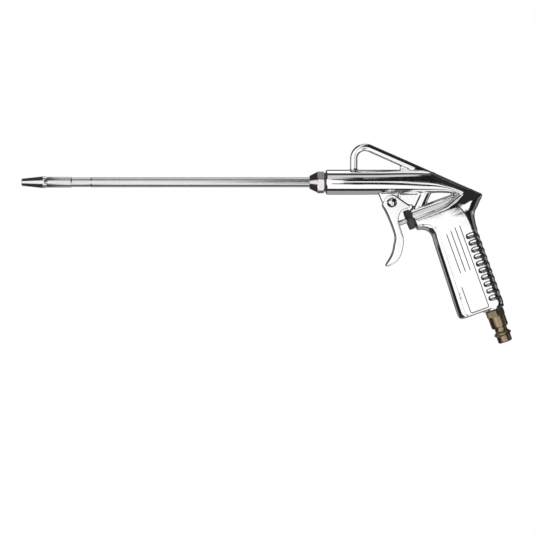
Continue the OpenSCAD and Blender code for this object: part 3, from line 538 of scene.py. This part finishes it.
# distances from the nut's front face, along the valve
gland = {"size": 16, "hex": 4.3, "end": 11.3, "bore": 2.05, "face": 7.6, "corner": 9.24, "bevel": 1.0,
         "thread": 6, "rounding": 0.12}

profile = [(gland["bore"], 0)]
profile += steppedPath([
    (gland["face"], 0), (gland["corner"], gland["bevel"]), (gland["corner"], gland["hex"])], (5, 4))
profile += [(gland["thread"], gland["hex"]), (gland["thread"], gland["end"]), (gland["bore"], gland["end"])]
bm = turned(profile, gland["rounding"])
cutToHexagon(bm, gland["size"], 0, 0, gland["hex"])
glandPiece = finished(bm, "glandNut", "gun", darkNut, valveAxis, sharp=30)
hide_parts("gland_nut")

stem = {"radius": 2.0, "out": 9.7, "dome": 2.5, "domeLength": 1.0, "neck": 1.5, "neckStart": 11.4,
        "thread": 1.2, "threadStart": 19.95, "end": 26.35, "rounding": 0.1}

profile = []
for angle in range(0, 51, 10):
    turn = math.radians(angle)
    height = -stem["out"] + stem["dome"] - stem["dome"] * math.cos(turn)
    profile.append((stem["dome"] * math.sin(turn), height))
profile += [
    (stem["radius"], -stem["out"] + stem["domeLength"]),
    (stem["radius"], stem["neckStart"]),
    (stem["neck"], stem["neckStart"]),
    (stem["neck"], stem["threadStart"]),
    (stem["thread"], stem["threadStart"]),
    (stem["thread"], stem["end"]),
    (0, stem["end"])]
bm = turned(profile, stem["rounding"], 72)
stemPiece = finished(bm, "valveStem", "stem", brightSteel, valveAxis, sharp=30)
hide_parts("valve_stem")

# distances from the grip's foot; shoulder: how far the body's end is drawn in, wide and then narrow
plug = {"size": 14, "hex": 4.8, "face": 7.2, "corner": 8.08, "bevel": 0.5, "body": 6.9, "bodyStart": 0.2,
        "bodyEnd": 14.4, "shoulder": (1.7, 0.5), "neck": 5.0, "neckEnd": 17.2, "ridge": 6.95,
        "ridgeLand": (1.9, 2.7), "noseStart": 21.3, "nose": 5.7, "chamfer": 0.8, "length": 26.6, "bore": 3.7,
        "thread": 6.5, "threadEnd": -11, "rounding": 0.25}

profile = [(plug["bore"], plug["threadEnd"]), (plug["thread"], plug["threadEnd"]), (plug["thread"], 0)]
profile += steppedPath([
    (plug["face"], 0),
    (plug["corner"], plug["bevel"]),
    (plug["corner"], plug["hex"] - plug["bevel"]),
    (plug["body"], plug["hex"])], (4, 4, 4))
profile += [
    (plug["body"], plug["hex"] + plug["bodyStart"]),
    (plug["body"], plug["bodyEnd"] - plug["shoulder"][0]),
    (plug["body"] - plug["shoulder"][1], plug["bodyEnd"] - plug["shoulder"][1]),
    (plug["body"] - plug["shoulder"][0], plug["bodyEnd"]),
    (plug["neck"], plug["bodyEnd"]),
    (plug["neck"], plug["neckEnd"]),
    (plug["ridge"], plug["neckEnd"] + plug["ridgeLand"][0]),
    (plug["ridge"], plug["neckEnd"] + plug["ridgeLand"][1]),
    (plug["nose"], plug["noseStart"]),
    (plug["nose"], plug["length"] - plug["chamfer"]),
    (plug["nose"] - plug["chamfer"], plug["length"]),
    (plug["bore"], plug["length"])]
bm = turned(profile, plug["rounding"])
cutToHexagon(bm, plug["size"], 0, 0, plug["hex"])
plugPiece = finished(bm, "inletPlug", "gun", bronzePlating, plugAxis, sharp=30)
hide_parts("inlet_plug")

# distances from the gun's middle plane; the groove holds the clip
pin = {"radius": 2.5, "head": 4.2, "rise": 2.4, "rim": 0.2, "domeGap": 0.1, "face": 7.55, "groove": 1.9,
       "grooveEnd": -8.6, "end": -10.1, "rounding": 0.12}

domeRadius = (pin["head"] ** 2 + pin["rise"] ** 2) / (2 * pin["rise"])
profile = []
for angle in range(0, 61, 5):
    out = domeRadius * math.sin(math.radians(angle))
    if out < pin["head"] - pin["domeGap"]:
        height = pin["face"] + pin["rise"] - domeRadius + math.sqrt(domeRadius ** 2 - out * out)
        profile.append((out, height))
profile += [
    (pin["head"], pin["face"] + pin["rim"]),
    (pin["head"], pin["face"]),
    (pin["radius"], pin["face"]),
    (pin["radius"], -pin["face"]),
    (pin["groove"], -pin["face"]),
    (pin["groove"], pin["grooveEnd"]),
    (pin["radius"], pin["grooveEnd"]),
    (pin["radius"], pin["end"]),
    (0, pin["end"])]
bm = turned(profile, pin["rounding"], 96)
pinPiece = finished(bm, "triggerPin", "gun", brightSteel, pinAxis, sharp=40)
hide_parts("trigger_pin")
print("valve, plug and pin made")

# the small pieces keep their solids
keptFinishes = {
    "nozzle_collar": turnedBrass, "nozzle_washer": greyFibre, "nozzle_o_ring": blackRubber,
    "gland_washer": greyFibre, "stem_o_ring": blackRubber, "seat_sleeve": turnedBrass,
    "sleeve_o_ring": blackRubber, "valve_spring": springWire, "inlet_washer": greyFibre,
    "pin_clip": darkNut, "poppet_seal": blackRubber, "poppet": turnedBrass, "poppet_nut": darkNut,
}
for nodeName, finish in keptFinishes.items():
    held = nodes[nodeName].data.materials
    held.clear()
    held.append(finish)
print("small pieces finished")

# a wide tent round the gun's long axis gives the light: bands of angle from the camera's side over the
# top, each with its brightness
tentSize = {"radius": 2000, "length": 30000, "segments": 128}
tentLight = {"strength": 1.12, "dark": 0.01, "far": 0.14, "tint": (1, 0.955, 0.955), "tinted": (20, 64),
             "edges": (1.5, 0.4, 3), "soft": 0.62}
underside = [(-180, 0.1), (-150, 0.12), (-140, 0.32), (-92, 0.32), (-88, 0.02), (-66, 0.02), (-62, 1.0)]
overhead = [(63, 0.62), (66, 0.03), (79, 0.03), (82, 0.17), (89, 0.17), (94, 1.0), (124, 1.0), (130, 0.04),
            (150, 0.04), (180, 0.1)]
barrelBands = underside + [(19, 1.0), (23, 0.62)] + overhead
# towards the nozzle's end, which the cones and forward edges reflect
leftBands = [(-180, 0.3), (-156, 0.3), (-148, 0.03), (-38, 0.03), (-32, 1.0), (30, 1.0), (35, 0.03),
             (148, 0.03), (156, 0.3), (180, 0.3)]
# above the tail, where the right side of the room is dark
rightBands = [(-180, 0.1), (-150, 0.12), (-92, 0.32), (-66, 0.02), (-62, 1.0), (4, 1.0), (10, 0.02),
              (96, 0.02), (100, 0.5), (104, 0.02), (146, 0.02), (156, 0.14), (180, 0.14)]
# a narrow bright slit in a dark front, for three stretches of the gun: the slit's and the dark's angles
fronts = {"mouth": ((-2.8, 5.2), (-19, 24)), "lever": ((-2.8, 5.2), (-24, 42)),
          "grip": ((-9, 0.6), (-45, 60))}
# where along the gun each table takes over, and where both ends fall dark
takeOver = {"left": (-0.3, -0.32), "mouth": (0.285, 0.3), "lever": (0.34, 0.4), "grip": (0.475, 0.49),
            "right": (0.62, 0.79), "leftEnd": (-3.0, -3.6), "rightEnd": (1.6, 1.9), "farRight": (4.0, 5.0)}


def frontBands(slit, dark):
    outer, inner, upper = tentLight["edges"]
    low = tentLight["dark"]
    front = [(dark[0] - outer, 1.0), (dark[0], low), (slit[0] - inner, low), (slit[0], 1.0), (slit[1], 1.0),
             (slit[1] + inner, low), (dark[1], low), (dark[1] + upper, tentLight["soft"])]
    return underside + front + overhead


def bandRamp(tree, source, table):
    ramp = addNode(tree, "ShaderNodeValToRGB")
    tree.links.new(source, ramp.inputs[0])
    stops = ramp.color_ramp.elements
    stops.remove(stops[-1])
    for k, (angle, level) in enumerate(table):
        stop = stops.new((angle + 180) / 360) if k else stops[0]
        if k == 0:
            stop.position = 0
        tinted = tentLight["tinted"][0] <= angle <= tentLight["tinted"][1]
        tint = tentLight["tint"] if tinted else (1, 1, 1)
        stop.color = (level * tint[0], level * tint[1], level * tint[2], 1)
    return ramp.outputs[0]


glow = bpy.data.materials.new("bandedLight")
glow.use_nodes = True
tree = glow.node_tree
tree.nodes.remove(tree.nodes["Principled BSDF"])
emission = addNode(tree, "ShaderNodeEmission")
tree.links.new(emission.outputs[0], tree.nodes["Material Output"].inputs[0])
coords = addNode(tree, "ShaderNodeTexCoord")
split = addNode(tree, "ShaderNodeSeparateXYZ")
flip = addNode(tree, "ShaderNodeMath", operation="MULTIPLY")
flip.inputs[1].default_value = -1
turn = addNode(tree, "ShaderNodeMath", operation="ARCTAN2")
tree.links.new(coords.outputs["Object"], split.inputs[0])
tree.links.new(split.outputs["Y"], flip.inputs[0])
tree.links.new(split.outputs["Z"], turn.inputs[0])
tree.links.new(flip.outputs[0], turn.inputs[1])
aroundGun = spread(tree, turn.outputs[0], 0, 1, -math.pi, math.pi)


def blended(tree, first, second, ends):
    # passes from the first colour to the second, or to a plain level, between two places along the gun
    mix = addNode(tree, "ShaderNodeMix", data_type="RGBA")
    tree.links.new(spread(tree, split.outputs["X"], 0, 1, *ends), mix.inputs[0])
    tree.links.new(first, mix.inputs[mixSockets["first"]])
    if isinstance(second, float):
        mix.inputs[mixSockets["second"]].default_value = (second, second, second, 1)
    else:
        tree.links.new(second, mix.inputs[mixSockets["second"]])
    return mix.outputs[mixSockets["result"]]


light = bandRamp(tree, aroundGun, barrelBands)
for place, (slit, dark) in fronts.items():
    light = blended(tree, light, bandRamp(tree, aroundGun, frontBands(slit, dark)), takeOver[place])
light = blended(tree, light, bandRamp(tree, aroundGun, leftBands), takeOver["left"])
light = blended(tree, light, bandRamp(tree, aroundGun, rightBands), takeOver["right"])
light = blended(tree, light, tentLight["dark"], takeOver["leftEnd"])
light = blended(tree, light, tentLight["dark"], takeOver["rightEnd"])
light = blended(tree, light, tentLight["far"], takeOver["farRight"])
tree.links.new(light, emission.inputs["Color"])
emission.inputs["Strength"].default_value = tentLight["strength"]


def studioPiece(bm, name, finish):
    mesh = bpy.data.meshes.new(name)
    bm.to_mesh(mesh)
    bm.free()
    mesh.materials.append(finish)
    piece = bpy.data.objects.new(name, mesh)
    scene.collection.objects.link(piece)
    return piece


bm = bmesh.new()
bmesh.ops.create_cone(bm, cap_ends=False, segments=tentSize["segments"], radius1=tentSize["radius"] * mm,
                      radius2=tentSize["radius"] * mm, depth=tentSize["length"] * mm)
bmesh.ops.transform(bm, matrix=Matrix.Rotation(math.pi / 2, 4, "Y"), verts=bm.verts)
tent = studioPiece(bm, "lightTent", glow)
# the tent lights the gun by reflection alone
tent.visible_camera = False
tent.visible_diffuse = False
tent.visible_shadow = False
tent.visible_transmission = False
tent.visible_volume_scatter = False

floorPlate = {"centreX": 200, "height": -360, "size": (1800, 960), "colour": (0.93, 0.93, 0.93, 1),
              "rough": 0.9}

floorFinish, tree, shader = newFinish("paleFloor")
shader.inputs["Base Color"].default_value = floorPlate["colour"]
shader.inputs["Roughness"].default_value = floorPlate["rough"]
bm = bmesh.new()
bmesh.ops.create_grid(bm, x_segments=1, y_segments=1, size=0.5)
stretch = Matrix.Diagonal((floorPlate["size"][0] * mm, floorPlate["size"][1] * mm, 1, 1))
lowered = Matrix.Translation((floorPlate["centreX"] * mm, 0, floorPlate["height"] * mm))
bmesh.ops.transform(bm, matrix=lowered @ stretch, verts=bm.verts)
floor = studioPiece(bm, "paleFloor", floorFinish)
floor.visible_glossy = False

# the room lights the gun with one colour, and is white where the camera or a reflection sees it
room = {"ambient": (0.8, 0.81, 0.83, 1), "seen": (1, 1, 1, 1)}

world = bpy.data.worlds.new("softRoom")
world.use_nodes = True
scene.world = world
tree = world.node_tree
lightPath = addNode(tree, "ShaderNodeLightPath")
background = tree.nodes["Background"]
background.inputs["Color"].default_value = room["ambient"]
seen = addNode(tree, "ShaderNodeBackground")
seen.inputs["Color"].default_value = room["seen"]
cameraOrGlossy = addNode(tree, "ShaderNodeMath", operation="ADD")
anySeen = addNode(tree, "ShaderNodeMath", operation="ADD", use_clamp=True)
blend = addNode(tree, "ShaderNodeMixShader")
tree.links.new(lightPath.outputs["Is Camera Ray"], cameraOrGlossy.inputs[0])
tree.links.new(lightPath.outputs["Is Glossy Ray"], cameraOrGlossy.inputs[1])
tree.links.new(cameraOrGlossy.outputs[0], anySeen.inputs[0])
tree.links.new(lightPath.outputs["Is Transmission Ray"], anySeen.inputs[1])
tree.links.new(anySeen.outputs[0], blend.inputs[0])
tree.links.new(background.outputs[0], blend.inputs[1])
tree.links.new(seen.outputs[0], blend.inputs[2])
tree.links.new(blend.outputs[0], tree.nodes["World Output"].inputs[0])

softBox = {"size": (1.0, 0.7), "energy": 4.0, "place": (-0.2, -0.9, 0.9), "aim": (0.25, 0, -0.05)}

lampData = bpy.data.lights.new("softBox", "AREA")
lampData.shape = "RECTANGLE"
lampData.size, lampData.size_y = softBox["size"]
lampData.energy = softBox["energy"]
lamp = bpy.data.objects.new("softBox", lampData)
lamp.location = softBox["place"]
lamp.rotation_euler = (Vector(softBox["aim"]) - lamp.location).to_track_quat("-Z", "Y").to_euler()
lamp.visible_glossy = False
scene.collection.objects.link(lamp)

scene.view_settings.view_transform = "Standard"
print("studio lit")
